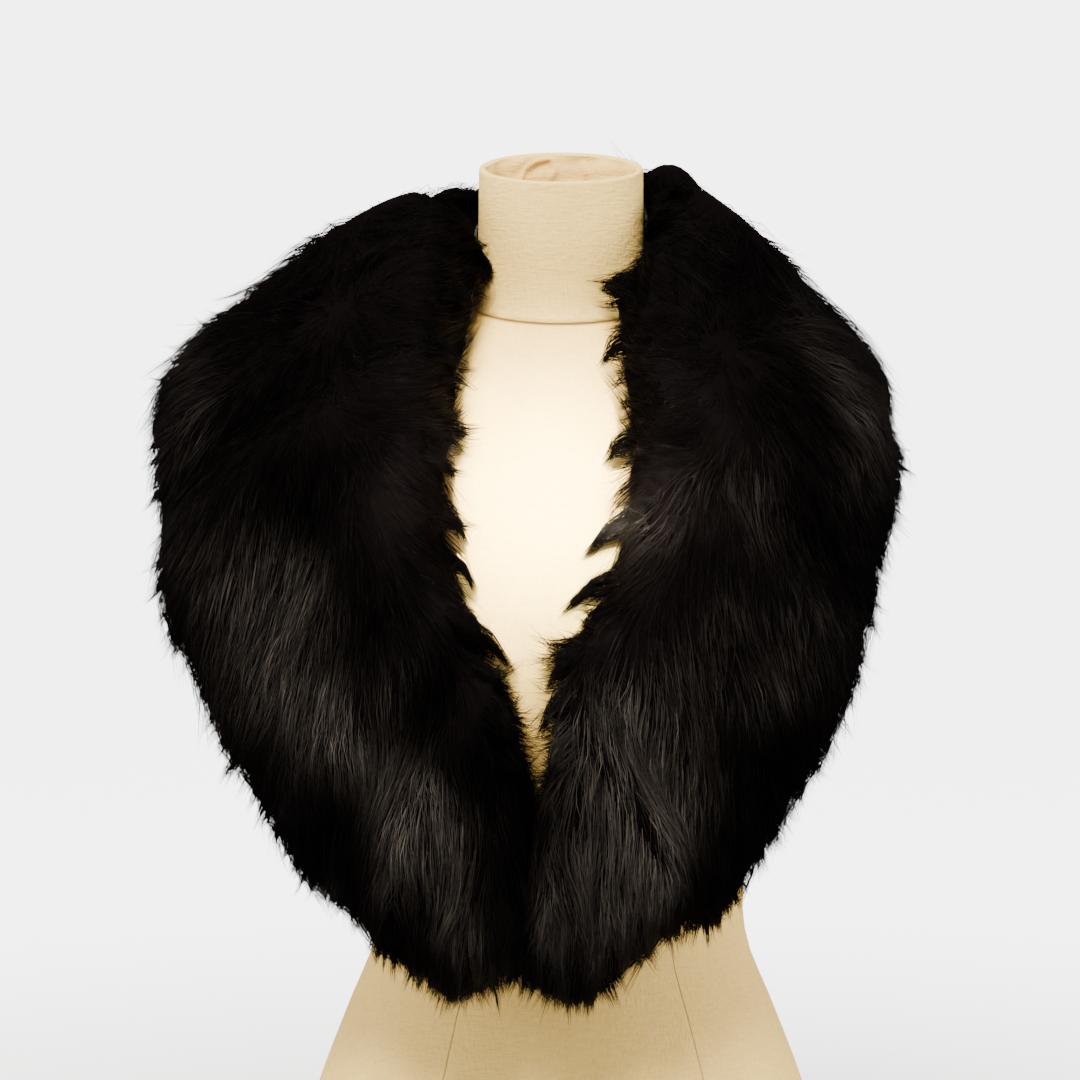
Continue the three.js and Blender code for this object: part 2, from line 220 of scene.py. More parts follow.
def newMaterial(name, roughness, specular=0.5):
    made = bpy.data.materials.new(name)
    made.use_nodes = True
    tree = made.node_tree
    tree.nodes.clear()
    shader = tree.nodes.new("ShaderNodeBsdfPrincipled")
    output = tree.nodes.new("ShaderNodeOutputMaterial")
    tree.links.new(shader.outputs["BSDF"], output.inputs["Surface"])
    shader.inputs["Roughness"].default_value = roughness
    shader.inputs["Specular IOR Level"].default_value = specular
    return made, tree, shader


# A node with its settings, and with each input linked to another output or set to a value.
# It gives the output asked for, or all of them.
def addNode(tree, kind, output=None, inputs=None, **settings):
    node = tree.nodes.new("ShaderNode" + kind)
    for key, value in settings.items():
        setattr(node, key, value)
    for key, value in (inputs or {}).items():
        if isinstance(value, bpy.types.NodeSocket):
            tree.links.new(value, node.inputs[key])
        else:
            node.inputs[key].default_value = value
    return node.outputs[output] if output else node.outputs


def addMath(tree, operation, *values, **settings):
    return addNode(tree, "Math", "Value", dict(enumerate(values)), operation=operation, **settings)


def mapRange(tree, value, start, end, **settings):
    ends = {"From Min": start[0], "From Max": start[1], "To Min": end[0], "To Max": end[1]}
    return addNode(tree, "MapRange", "Result", {"Value": value, **ends}, **settings)


def mixColours(tree, share, one, two):
    return addNode(tree, "Mix", "Result", {"Factor": share, "A": one, "B": two}, data_type="RGBA")


furLook = {
    "darkColour": (0.0013, 0.0009, 0.0010, 1),
    # The pale colour is painted sheen: the colour of hair where light falls on it.
    "paintedSheenColour": (0.090, 0.077, 0.070, 1),
    "rootReach": (0.05, 0.6),
    "rootShare": (0.2, 1.0),
    "roughness": {"guard": 0.42, "short": 0.55},
    "specular": {"guard": 0.015, "short": 0.01},
    "underColour": (0.0016, 0.0011, 0.0012, 1),
    "underRoughness": 0.95,
    "underSpecular": 0.01,
}


# Each hair's colour goes from the dark one towards the pale one by its own variation times a painted
# sheen, and the painted sheen fades towards the root.
def furMaterial(kind):
    made, tree, shader = newMaterial("fur_" + kind, furLook["roughness"][kind], furLook["specular"][kind])
    toneAndSheen = addNode(tree, "Attribute", "Fac", attribute_name="toneAndSheen")
    along = addNode(tree, "Attribute", "Fac", attribute_name="along")
    lift = mapRange(tree, along, furLook["rootReach"], furLook["rootShare"])
    share = addMath(tree, "MULTIPLY", toneAndSheen, lift)
    colour = mixColours(tree, share, furLook["darkColour"], furLook["paintedSheenColour"])
    tree.links.new(colour, shader.inputs["Base Color"])
    return made


def underfurMaterial():
    made, _, shader = newMaterial("underfur", furLook["underRoughness"], furLook["underSpecular"])
    shader.inputs["Base Color"].default_value = furLook["underColour"]
    return made


suedeLook = {
    "dark": (0.012, 0.010, 0.009, 1),
    "pale": (0.030, 0.025, 0.022, 1),
    "noise": {"Scale": 220.0, "Detail": 4.0},
    "nap": {"Strength": 0.3, "Distance": 0.0004},
    "roughness": 0.85,
}


# Suede: a noise varies the colour and raises a fine nap.
def skinMaterial():
    made, tree, shader = newMaterial("pelt_skin", suedeLook["roughness"])
    place = addNode(tree, "TexCoord", "Object")
    noise = addNode(tree, "TexNoise", "Fac", {"Vector": place, **suedeLook["noise"]})
    colour = mixColours(tree, noise, suedeLook["dark"], suedeLook["pale"])
    nap = addNode(tree, "Bump", "Normal", {"Height": noise, **suedeLook["nap"]})
    tree.links.new(colour, shader.inputs["Base Color"])
    tree.links.new(nap, shader.inputs["Normal"])
    return made


# Form

formLook = {
    "sides": {"linen_neck": 192, "linen_torso": 96},
    "steps": {"linen_neck": 32, "linen_torso": 44},
    "crowd": {"linen_neck": 1.5, "linen_torso": 1},
    "wall": 4,
    "seamLevel": 640,
    "topLevel": 727,
    "seamGap": 0.4,
    "rimRoll": 1.6,
    "neckGirth": 283,
    "foldWidth": 1.3,
    "foldHeight": 2.0,
    "folds": (
        ((0.345, 15), (0.33, 8), (0.305, 3.5), (0.275, 2.5)),
        ((0.272, 2.5), (0.262, 9), (0.27, 16)),
        ((0.2, 5), (0.195, 14)),
    ),
    "linerDepth": 42,
    "linerFade": 8,
    "linerWrinkle": 1.3,
    "linerMean": 0.6,
    "linerFolds": (0.6, (44, 0.22, 0), (23, -0.31, 1)),
    "linerCrease": (0.4, 61, 2, 0.13),
    "cloth": (0.74, 0.475, 0.112, 1),
    "clothPale": (0.87, 0.615, 0.198, 1),
    "weft": (130.0, 130.0, 620.0),
    "warp": (620.0, 620.0, 190.0),
    "thread": {"Scale": 1.0, "Detail": 2.0},
    "fleck": (0.7, 1.3),
    "fleckShare": 0.6,
    "blotch": {"Scale": 14.0, "Detail": 5.0},
    "blotchShare": 0.4,
    "weave": {"Strength": 0.6, "Distance": 0.0008},
    "seamColour": (0.30, 0.22, 0.13, 1),
    "seamWidth": 0.0011,
    "seamTurns": (0.674, 0.845, 0.338, 0.162, 0.501, 0.999, 0.25),
    "seamFade": (0.5, 0.54),
    "seamDark": 0.45,
    "seamDepth": -2.5,
    "roughness": 0.85,
    "specular": 0.25,
}


# The wall's inner point is the outer one moved in along the surface's own normal.
def formInside(level, turn, depth):
    up = formPoint(level + 0.5, turn) - formPoint(level - 0.5, turn)
    along = formPoint(level, turn + 0.002) - formPoint(level, turn - 0.002)
    return formPoint(level, turn) - depth * unit(np.cross(along, up))


# Folds of the lining: a bell of the distance to the nearest of the folds' lines, in millimetres
# round the neck and down from its rim.
def foldHeight(turn, drop):
    girth = formLook["neckGirth"]
    nearest = np.full(np.broadcast(turn, drop).shape, 1e3)
    for fold in formLook["folds"]:
        for (turnA, dropA), (turnB, dropB) in zip(fold[:-1], fold[1:]):
            wayX, wayY = (turnB - turnA) * girth, dropB - dropA
            x, y = (turn - turnA) * girth, drop - dropA
            share = np.clip((x * wayX + y * wayY) / (wayX**2 + wayY**2), 0, 1)
            nearest = np.minimum(nearest, np.hypot(x - share * wayX, y - share * wayY))
    return formLook["foldHeight"] * bell(nearest / formLook["foldWidth"])


# The lining's wrinkles near the rim: a product of two slanting waves, a fine crease and the folds.
def linerHeight(turn, level, high):
    near = np.clip((level - (high - formLook["linerDepth"])) / formLook["linerFade"], 0, 1)
    share, *waves = formLook["linerFolds"]
    for around, up, start in waves:
        share = share * np.sin(turn * around + level * up + start)
    creaseShare, around, sway, up = formLook["linerCrease"]
    crease = creaseShare * np.sin(turn * around + sway * np.sin(level * up))
    wrinkle = formLook["linerWrinkle"] * near * (formLook["linerMean"] + share + crease)
    return wrinkle + foldHeight(turn, high - level)


# Up the outside and down the inside, ring by ring; u is the turn and v the level in metres.
# The rings crowd towards the top by a power, and a rolled rim is half a circle over the wall.
def formTube(name, low, high, roll, lined):
    sides = formLook["sides"][name]
    turn = np.arange(sides) / sides
    steps = np.linspace(1, 0, formLook["steps"][name] + 1)
    levels = high - (high - low) * steps ** formLook["crowd"][name]
    level = levels[:, None] + 0 * turn
    outside = formPoint(level, turn + 0 * level)
    inside = formInside(level, turn + 0 * level, formLook["wall"])
    if lined:
        depth = linerHeight(turn, levels[:, None], high)
        inside = inside - depth[..., None] * unit(inside * np.array([1, 1, 0]))
    inside = inside[::-1]
    if low == 0:
        inside[-1, :, 2] = 0
    rings = [outside]
    heights = [levels]
    for angle in (0.25, 0.5, 0.75) if roll else ():
        top = formInside(high + 0 * turn, turn, formLook["wall"] * (1 - math.cos(angle * math.pi)) / 2)
        rings.append((top + np.array([0, 0, roll * math.sin(angle * math.pi)]))[None])
        heights.append(np.array([high + 1]))
    rings.append(inside)
    # The inside's v is past the outside's, so that no seam line falls on it.
    heights.append(levels[::-1] + 400)
    points = np.concatenate(rings)
    uv = np.stack(np.broadcast_arrays(turn[None, :], np.concatenate(heights)[:, None] * mm), axis=-1)
    faces = ringFaces(len(points), sides, True)
    return makeMesh(name, points.reshape(-1, 3), faces, uv=uv.reshape(-1, 2))


# Linen: two stretched noises cross as warp and weft, blotches tint it and seams are dark lines.
# The upright seams end where the fur hides them, and the level one goes all round.
def linenMaterial(name, seamTurns):
    # One at the seam's centre and zero past its half width.
    def seamLine(value, centre):
        away = addMath(tree, "ABSOLUTE", addMath(tree, "SUBTRACT", value, centre))
        share = addMath(tree, "DIVIDE", away, formLook["seamWidth"])
        return addMath(tree, "SUBTRACT", 1, share, use_clamp=True)

    made, tree, shader = newMaterial(name, formLook["roughness"], formLook["specular"])
    place = addNode(tree, "TexCoord", "Object")
    threads = []
    for thread in ("weft", "warp"):
        stretched = {"Vector": place, "Scale": formLook[thread]}
        stretch = addNode(tree, "Mapping", "Vector", stretched, name=thread)
        threads.append(addNode(tree, "TexNoise", "Fac", {"Vector": stretch, **formLook["thread"]}))
    weave = addMath(tree, "ADD", *threads)
    blotch = addNode(tree, "TexNoise", "Fac", {"Vector": place, **formLook["blotch"]})
    blotch = addMath(tree, "MULTIPLY", blotch, formLook["blotchShare"])
    fleck = mapRange(tree, weave, formLook["fleck"], (0.0, 1.0))
    share = addMath(tree, "MULTIPLY_ADD", fleck, formLook["fleckShare"], blotch)
    ground = mixColours(tree, share, formLook["cloth"], formLook["clothPale"])

    cloth = addNode(tree, "UVMap", "UV", uv_map="cloth")
    parts = addNode(tree, "SeparateXYZ", inputs={"Vector": cloth})
    below = mapRange(tree, parts["Y"], formLook["seamFade"], (1.0, 0.0))
    seams = seamLine(parts["Y"], formLook["seamLevel"] * mm)
    for turn in seamTurns:
        seams = addMath(tree, "MAXIMUM", seams, addMath(tree, "MULTIPLY", seamLine(parts["X"], turn), below))
    tint = addMath(tree, "MULTIPLY", seams, formLook["seamDark"])
    tree.links.new(mixColours(tree, tint, ground, formLook["seamColour"]), shader.inputs["Base Color"])
    height = addMath(tree, "MULTIPLY_ADD", seams, formLook["seamDepth"], weave)
    raised = addNode(tree, "Bump", "Normal", {"Height": height, **formLook["weave"]})
    tree.links.new(raised, shader.inputs["Normal"])
    return made


boardLook = {
    "dark": (0.36, 0.23, 0.11, 1),
    "pale": (0.55, 0.39, 0.21, 1),
    "stretch": (6, 60, 60),
    "noise": {"Scale": 2.0, "Detail": 6.0},
    "roughness": 0.6,
}


# Plywood: rings of a stretched noise across the board.
def boardMaterial():
    made, tree, shader = newMaterial("board", boardLook["roughness"])
    place = addNode(tree, "TexCoord", "Object")
    stretch = addNode(tree, "Mapping", "Vector", {"Vector": place, "Scale": boardLook["stretch"]})
    noise = addNode(tree, "TexNoise", "Fac", {"Vector": stretch, **boardLook["noise"]})
    colour = mixColours(tree, noise, boardLook["dark"], boardLook["pale"])
    tree.links.new(colour, shader.inputs["Base Color"])
    return made


def buildForm():
    seam = formLook["seamLevel"]
    gap = formLook["seamGap"] / 2
    neck = formTube("linen_neck", seam + gap, formLook["topLevel"], formLook["rimRoll"], True)
    torso = formTube("linen_torso", 0, seam - gap, 0, False)
    neck.data.materials.append(linenMaterial("neck_linen", ()))
    torso.data.materials.append(linenMaterial("torso_linen", formLook["seamTurns"]))
    for piece, nodes in ((neck, ["form_neck"]), (torso, ["form_torso_front", "form_torso_back"])):
        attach(piece, "root")
        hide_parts(*nodes)
    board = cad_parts["form_base_board"].data.materials
    board.clear()
    board.append(boardMaterial())


# Stole

stoleLook = {
    "skinClearance": 0.8,
    "skinThickness": 1.6,
    "rag": {"depth": 3, "pace": 8.3, "swell": 3.1, "neckPhase": 2},
    "lock": {"depth": 2.1, "pace": 5.2, "slant": 4, "sway": 1.7, "layers": 9, "drift": 2.3},
    "edgeCrowd": 0.25,
    "columns": 36,
    "ringsPerRow": 6,
    "neckInset": 7,
    "neckPulls": ((15.4, 0.5, 11), (22.3, 1.0, 11), (1.2, 0.9, 5), (9.0, 1.0, -6), (14.7, 0.6, -9)),
    "outerInset": 3,
    "hemInset": 12,
    "hemTop": 270,
    "hemSpan": 48,
    "hairRoom": 7,
    "underfurLeast": 10,
    "underfurGap": 0.15,
    "neckRound": 4,
    "outerRound": 2.8,
    "grooveWidth": 28,
    "grooveLeast": 0.2,
    "wave": {"depth": 6, "pace": 2.9, "slant": 5, "warp": 1.3, "turn": 2.2, "lean": 3},
    "closingX": -25,
    "closingLevel": 278,
    "closingLean": 0.13,
    "closingGap": 0.4,
    "backSeams": (9.6, 14.4),
    "seamHalf": 0.0075,
}


# How far towards the hem a level is: zero above the hem's top, and one a span below it.
def hemShare(level, span):
    return np.clip((stoleLook["hemTop"] - level) / span, 0, 1)


# The edge stands out by a product of two sines and by one bell for each tuft.
def edgeReach(side, at):
    rag = stoleLook["rag"]
    phase = rag["neckPhase"] if side == "in" else 0
    reach = rag["depth"] * np.sin(at * rag["pace"] + 1) * np.sin(at * rag["swell"] + phase)
    for place, length, spread in neckTufts if side == "in" else outerTufts:
        reach = reach + length * bell((at - place) / spread)
    return reach


# The broad locks' height is the sum of two slanting sines.
def lockHeight(at, q):
    lock = stoleLook["lock"]
    across = np.sin(at * lock["pace"] + q * lock["slant"] + np.sin(at * lock["sway"]))
    along = np.sin(q * lock["layers"] - at * lock["drift"])
    return lock["depth"] * (across + along)


# The skin's edges at a row place, and the unit ways along the stole and out of it.
def skinFrame(at):
    def edge(side, where):
        return np.stack([stoleRead(side + axis, where) for axis in "XYZ"], axis=-1)

    step = 0.02
    inner = edge("in", at)
    outer = edge("out", at)
    ahead = edge("in", at + step) + edge("out", at + step)
    behind = edge("in", at - step) + edge("out", at - step)
    along = unit(ahead - behind)
    return inner, outer, unit(np.cross(along, outer - inner))


# A skin point: straight across between the edges, plus an arch of 4 s (1 - s). The pelt stops
# short of where the hair ends, and most of all at the hem, where the hair hangs down past it.
def skinPoint(at, q):
    inner, outer, out = skinFrame(at)
    hem = hemShare(outer[..., 2], stoleLook["hemSpan"])
    outerInset = stoleLook["outerInset"] + stoleLook["hemInset"] * hem
    across = outer - inner
    width = np.linalg.norm(across, axis=-1)
    way = across / width[..., None]
    crowd = stoleLook["edgeCrowd"]
    c = -np.cos(q * np.pi)
    s = (c * (1 - crowd) + c**3 * crowd + 1) / 2
    start = stoleLook["neckInset"] - edgeReach("in", at)
    for place, spread, depth in stoleLook["neckPulls"]:
        start = start + depth * bell((at - place) / spread)
    end = width + edgeReach("out", at) - outerInset
    w = start + s * (end - start)
    share = np.clip(w / width, 0, 1)
    point = inner + way * w[..., None]
    return point + out * (stoleRead("arch", at) * 4 * share * (1 - share))[..., None]


# Halving finds the row place where each column meets the leaning line of the closing.
def closingPlaces(q, side):
    halvings = 30
    search = 3.0
    last = stolePlaces[-1]
    near = np.full_like(q, 0.0 if side > 0 else last)
    far = np.full_like(q, search if side > 0 else last - search)
    shift = stoleLook["closingGap"] / 2
    lean = math.tan(stoleLook["closingLean"])
    for _ in range(halvings):
        middle = (near + far) / 2
        point = skinPoint(middle, q)
        line = stoleLook["closingX"] + (point[:, 2] - stoleLook["closingLevel"]) * lean
        beyond = (point[:, 0] - line) * side > -shift
        near = np.where(beyond, middle, near)
        far = np.where(beyond, far, middle)
    return (near + far) / 2


# The row places of a panel's grid, one row of the array for each ring and one column for each q.
def panelPlaces(panel, q):
    first, second = stoleLook["backSeams"]
    half = stoleLook["seamHalf"]
    start, end = {
        "front_right": (closingPlaces(q, 1), first - half),
        "back": (first + half, second - half),
        "front_left": (second + half, closingPlaces(q, -1)),
    }[panel]
    rings = int(np.mean(np.abs(end - start)) * stoleLook["ringsPerRow"]) + 1
    t = np.linspace(0, 1, rings)[:, None]
    return start * (1 - t) + end * t + 0 * q


# The skin is pushed out until its points and the middles between them are clear of the form.
def settle(rows, clearance):
    rounds = 12
    every, low, high = slice(None), slice(0, -1), slice(1, None)
    for _ in range(rounds):
        rows = outOf(rows, clearance)
        for one, two in (((every, low), (every, high)), ((low, every), (high, every))):
            middle = (rows[one] + rows[two]) / 2
            push = (outOf(middle, clearance) - middle) / 2
            rows[one] += push
            rows[two] += push
    return rows


# Normals are the cross of the grid's two differences, out of the stole.
def gridNormals(points):
    return unit(np.cross(np.gradient(points, axis=0), np.gradient(points, axis=1)))


# A closed wall between two grids of points: the top, the underside and a strip round the edge.
def wallFaces(rings, columns):
    index = np.arange(rings * columns).reshape(rings, columns)
    under = index + rings * columns
    top = np.stack([index[:-1, :-1], index[1:, :-1], index[1:, 1:], index[:-1, 1:]], axis=-1)
    bottom = np.stack([under[:-1, :-1], under[:-1, 1:], under[1:, 1:], under[1:, :-1]], axis=-1)
    edges = []
    for line, flip in ((index[0], False), (index[-1], True), (index[:, 0], True), (index[:, -1], False)):
        a, b = line[:-1], line[1:]
        strip = np.stack([a, b, b + rings * columns, a + rings * columns], axis=-1)
        edges.append(strip[:, ::-1] if flip else strip)
    return np.concatenate([top.reshape(-1, 4), bottom.reshape(-1, 4), *edges])


# The columns crowd at the edges, where the fur's side is steep.
def peltSurface(panel):
    q = (1 - np.cos(np.linspace(0, np.pi, stoleLook["columns"] + 1))) / 2
    at = panelPlaces(panel, q)
    grid = np.broadcast_to(q, at.shape)
    return at, grid, settle(skinPoint(at, grid), stoleLook["skinClearance"])


# A piece of the stole in its place, with its material.
def furPiece(name, points, faces, material, values=None):
    made = makeMesh(name, points.reshape(-1, 3), faces, values)
    made.data.materials.append(material)
    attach(made, "root")
    return made


def buildPelt(panel, surface, material):
    at, _, skin = surface
    top = skin + gridNormals(skin) * stoleLook["skinThickness"]
    return furPiece("pelt_" + panel, np.stack([top, skin]), wallFaces(*at.shape), material)


# How far each point is from the closing end, along its column.
def fromClosing(panel, skin):
    steps = np.linalg.norm(np.diff(skin, axis=0), axis=-1)
    if panel == "front_right":
        return np.concatenate([np.zeros((1, skin.shape[1])), np.cumsum(steps, axis=0)])
    if panel == "front_left":
        return np.concatenate([np.cumsum(steps[::-1], axis=0)[::-1], np.zeros((1, skin.shape[1]))])
    return np.full(skin.shape[:2], 1e3)


# The underfur is a D over the pelt: its height is the pile less the hair's room, with broad waves
# across it, times a crown that falls to the edges and a quarter circle that falls to the closing.
def underfurTop(panel, surface):
    at, q, skin = surface
    normal = gridNormals(skin)
    power = np.where(q < 0.5, stoleLook["neckRound"], stoleLook["outerRound"])
    crown = np.sqrt(np.maximum(1 - np.abs(2 * q - 1) ** power, 0))
    wave = stoleLook["wave"]
    warp = wave["warp"] * np.sin(at * wave["turn"] - q * wave["lean"])
    swell = wave["depth"] * np.sin(at * wave["pace"] + q * wave["slant"] + warp)
    height = stoleRead("pile", at) + lockHeight(at, q) + swell - stoleLook["hairRoom"]
    near = 1 - np.clip(fromClosing(panel, skin) / stoleLook["grooveWidth"], 0, 1)
    least = stoleLook["grooveLeast"]
    groove = least + (1 - least) * np.sqrt(1 - near**2)
    height = np.maximum(height, stoleLook["underfurLeast"]) * crown * groove
    base = stoleLook["skinThickness"] + stoleLook["underfurGap"]
    return skin + normal * base, skin + normal * (base + height)[..., None]


def buildUnderfur(panel, surface, material):
    low, top = underfurTop(panel, surface)
    faces = wallFaces(*surface[0].shape)
    return furPiece("underfur_" + panel, np.stack([top, low]), faces, material), top


# Hair

hairLook = {
    "count": {"front_right": (10600, 27500), "back": (8400, 21000), "front_left": (10200, 25500)},
    "reach": {"guard": (34, 56), "short": (18, 38)},
    "rise": {"guard": (4.5, 12), "short": (1.5, 8)},
    "midHeight": 0.6,
    "bend": 0.45,
    "rootDepth": 2.5,
    "stray": 0.08,
    "looseShare": 0.05,
    "looseEdge": 0.12,
    "looseLift": 1.5,
    "edgeFlat": 0.55,
    "standRise": 0.1,
    "standReach": 0.35,
    "hemShort": 0.5,
    "hemSpan": 30,
    "walkSteps": 3,
    "radius": {"guard": 0.23, "short": 0.22, "edge": 0.3, "rim": 0.36},
    "radiusRange": (0.7, 0.6),
    "tipTaper": 0.5,
    "formClearance": 0.6,
    "edgeShade": 0.3,
    # The weights of each hair's own variation, which the painted sheen then scales.
    "toneAndSheen": {"least": 0.1, "hair": 0.7, "stripe": 1.5, "clump": 0.4},
    "stripeBends": ((2.5, 2, 31, 0), (1.2, 2, 13, 1)),
    "stripeWaves": ((1.37, 1 / 9, 0), (0.81, 0, 2), (2.23, 1 / 5, 0)),
}

# One random length for each part of an edge.
ragLook = {"seed": 7, "parts": 90, "power": 1.4, "pace": 3.1, "share": 0.75, "mean": 0.42, "stand": 0.6}

clumpLook = {
    "size": {"guard": 11, "short": 13},
    "reach": (0.15, 0.95),
    "lift": (1.35, 0.5),
    "hold": {"guard": (0.35, 0.85), "short": (0.05, 0.5)},
    "holdMost": 0.9,
    "hemHold": 0.2,
    "hemSpan": 40,
    "edgeHold": 0.15,
    "loose": 1.6,
    "nearMost": 1.6,
    "nearFade": 40,
    "midShare": 0.25,
}

# How the hair lies across: its spread to both edges, its slow waves, how straight it falls beside
# the closing's notch, and how it turns outward and up on the upper front.
layLook = {
    "neckSpread": 1.15,
    "outerSpread": 0.75,
    "spreadCurve": (0.4, 0.6),
    "wander": 0.25,
    "waves": ((1, 4.1, 3), (0.6, 7.7, -7)),
    "notchLevel": 385,
    "notchSpread": 50,
    "notchStraight": {"front_right": 0.35, "back": 0, "front_left": 0.95},
    "standLevel": 560,
    "standSpread": 90,
    "standFront": (10, 40),
    "standOut": 0.7,
    "standUp": 0.7,
}

lockLook = {
    "hairs": 150,
    "spread": 5.5,
    "rise": 5,
    "thick": 0.8,
    "frontOf": 40,
    "tipBack": 3,
    "tipWidth": 0.15,
    "loose": 1.5,
    "shorter": 0.5,
}

# The edges' small tufts. The way is the shares of down, across and off the surface; the rim's tufts
# stand where the surface turns away from the front.
fringeShared = {
    "levels": (0, 1000),
    "rows": 2,
    "bow": 1.0,
    "sag": 0,
    "hem": 0,
    "hemSpan": 40,
    "standOff": 0.6,
    "standShort": 0.3,
    "leastStep": 0.5,
    "shorter": 0.55,
    "gather": 0.85,
    "rootDepth": 3,
}
fringes = {
    "outer": {
        "spacing": 4, "hairs": 14, "depth": 0.25, "spread": 2.2, "thick": 1.0,
        "way": (1, 0.35, 0.6), "jitter": 0.16, "length": (12, 24), "loose": 0.6, "hem": 0.3,
    },
    "rim": {
        "spacing": 4, "rows": 4, "hairs": 14, "facing": 0.22, "from": 0.3, "spread": 2.2, "thick": 1.0,
        "way": (1, 0.1, 0.85), "jitter": 0.18, "length": (12, 25), "loose": 0.7,
    },
    "neck": {
        "spacing": 5, "hairs": 16, "depth": 0.2, "spread": 2.4, "thick": 0.7,
        "way": (0.4, 1.0, 0.4), "jitter": 0.32, "length": (14, 32), "loose": 0.9, "bow": 0.6, "sag": 0.1,
    },
    "notch": {
        "levels": (328, 440), "spacing": 0.6, "hairs": 7, "depth": 0.12, "spread": 3, "thick": 0.8,
        "way": (0.6, 1.0, 0.5), "jitter": 0.4, "length": (20, 48), "loose": 1.6, "bow": 2, "sag": 0.12,
    },
}
down = np.array([0.0, 0.0, -1.0])
# Places stop this short of a grid's size, which keeps them inside its last cell.
lastCell = 1.001


# Roots are drawn over the surface: a quad is drawn with its area as weight, then a place in it.
def scatter(top, count, random):
    a = top[1:, :-1] - top[:-1, :-1]
    b = top[:-1, 1:] - top[:-1, :-1]
    area = np.linalg.norm(np.cross(a, b), axis=-1)
    total = np.cumsum(area.ravel())
    cell = np.searchsorted(total, random.random(count) * total[-1])
    i, j = np.unravel_index(np.minimum(cell, area.size - 1), area.shape)
    return np.stack([i, j], axis=-1) + random.random((count, 2)), total[-1]


# Values between the grid's points, by the four nearest ones.
def sample(values, place):
    i = np.minimum(place[:, 0].astype(int), values.shape[0] - 2)
    j = np.minimum(place[:, 1].astype(int), values.shape[1] - 2)
    u = place[:, 0] - i
    v = place[:, 1] - j
    if values.ndim == 3:
        u = u[:, None]
        v = v[:, None]
    return (
        values[i, j] * (1 - u) * (1 - v)
        + values[i + 1, j] * u * (1 - v)
        + values[i, j + 1] * (1 - u) * v
        + values[i + 1, j + 1] * u * v
    )


# Long pointed locks on the front: the tip's x and z, and how far beside and above it the root is.
locks = {
    "front_right": (
        (-165, 302, 2, 46),
        (-141, 274, 4, 48),
        (-116, 245, 6, 50),
        (-90, 218, 4, 52),
        (-77, 215, 2, 52),
        (-63, 210, -4, 56),
        (-51, 224, 2, 50),
        (-41, 223, 0, 52),
        (-32, 226, -2, 52),
        (-22, 347, -16, 34),
        (-27, 370, -20, 32),
        (-34, 393, -22, 30),
        (-28, 412, -24, 30),
        (-45, 432, -22, 28),
        (-52, 462, -20, 26),
        (-58, 492, -18, 22),
        (-66, 532, -18, 18),
        (-63, 604, -18, 12),
        (-56, 640, -20, 8),
    ),
    "back": (),
    "front_left": (
        (-24, 226, 2, 52),
        (-14, 220, 4, 54),
        (1, 211, 0, 58),
        (13, 203, 6, 60),
        (18, 206, 8, 58),
        (38, 228, 2, 50),
        (53, 240, 2, 50),
        (66, 252, 2, 48),
        (84, 258, 4, 50),
        (92, 258, 4, 50),
        (110, 276, 4, 48),
        (-10, 350, 14, 34),
        (-15, 374, 18, 32),
        (-10, 402, 22, 30),
        (-2, 448, 28, 24),
        (4, 455, 28, 20),
        (12, 482, 22, 24),
        (26, 540, 18, 20),
        (24, 600, 18, 14),
        (24, 648, 22, 2),
        (28, 654, 20, -4),
    ),
}

# Painted sheen, where the hair's colour is raised towards the pale colour of lit hair, on the front
# and on the back: the spot's x and z, half its length and half its breadth, how it is turned in
# degrees, and its strength.
paintedSheenSpots = {
    "front": (
        (-206, 462, 34, 24, -60, 0.7),
        (-166, 466, 26, 18, -60, 0.5),
        (-180, 407, 42, 24, -62, 0.68),
        (-137, 383, 34, 20, -45, 0.95),
        (-106, 346, 40, 20, -75, 1.5),
        (-80, 322, 32, 16, -70, 1.15),
        (-99, 419, 16, 12, -60, 0.3),
        (-58, 267, 34, 14, -80, 0.65),
        (42, 389, 38, 28, 30, 0.85),
        (20, 346, 42, 24, 75, 0.65),
        (56, 338, 42, 24, 70, 1.1),
        (29, 291, 36, 22, 75, 1.1),
        (60, 298, 24, 14, 80, 0.6),
        (130, 399, 30, 14, 15, 0.55),
        (-6, 272, 34, 8, 85, 0.65),
        (62, 516, 30, 18, 20, 0.4),
        (126, 514, 28, 18, -60, 0.35),
        (144, 437, 26, 22, 60, 0.25),
        (96, 440, 24, 14, 20, 0.2),
        (182, 580, 50, 16, -75, 0.4),
        (-240, 570, 44, 12, 80, 0.3),
    ),
    "back": (
        (-150, 590, 60, 22, 25, 1.1),
        (-60, 640, 50, 18, 5, 0.9),
        (60, 630, 50, 20, -10, 1.2),
        (130, 570, 50, 20, -35, 1.1),
        (-90, 530, 50, 20, 15, 1.3),
        (20, 540, 60, 20, -5, 1.4),
        (90, 500, 40, 16, -20, 1.0),
    ),
}

# The painted sheen's floor and most, the depth over which the front's spots give way to the back's,
# and the slow sines that bend it: a size, the axis that it follows, a length and a start.
paintedSheenLook = {
    "floor": 0.01,
    "most": 1.6,
    "turnDepth": 60,
    "bendX": ((7, 2, 19, 0), (4, 1, 11, 0)),
    "bendZ": ((9, 0, 23, 0), (5, 0, 9, 1)),
}


def bent(points, axis, bends):
    value = points[..., axis]
    for size, other, length, start in bends:
        value = value + size * np.sin(points[..., other] / length + start)
    return value


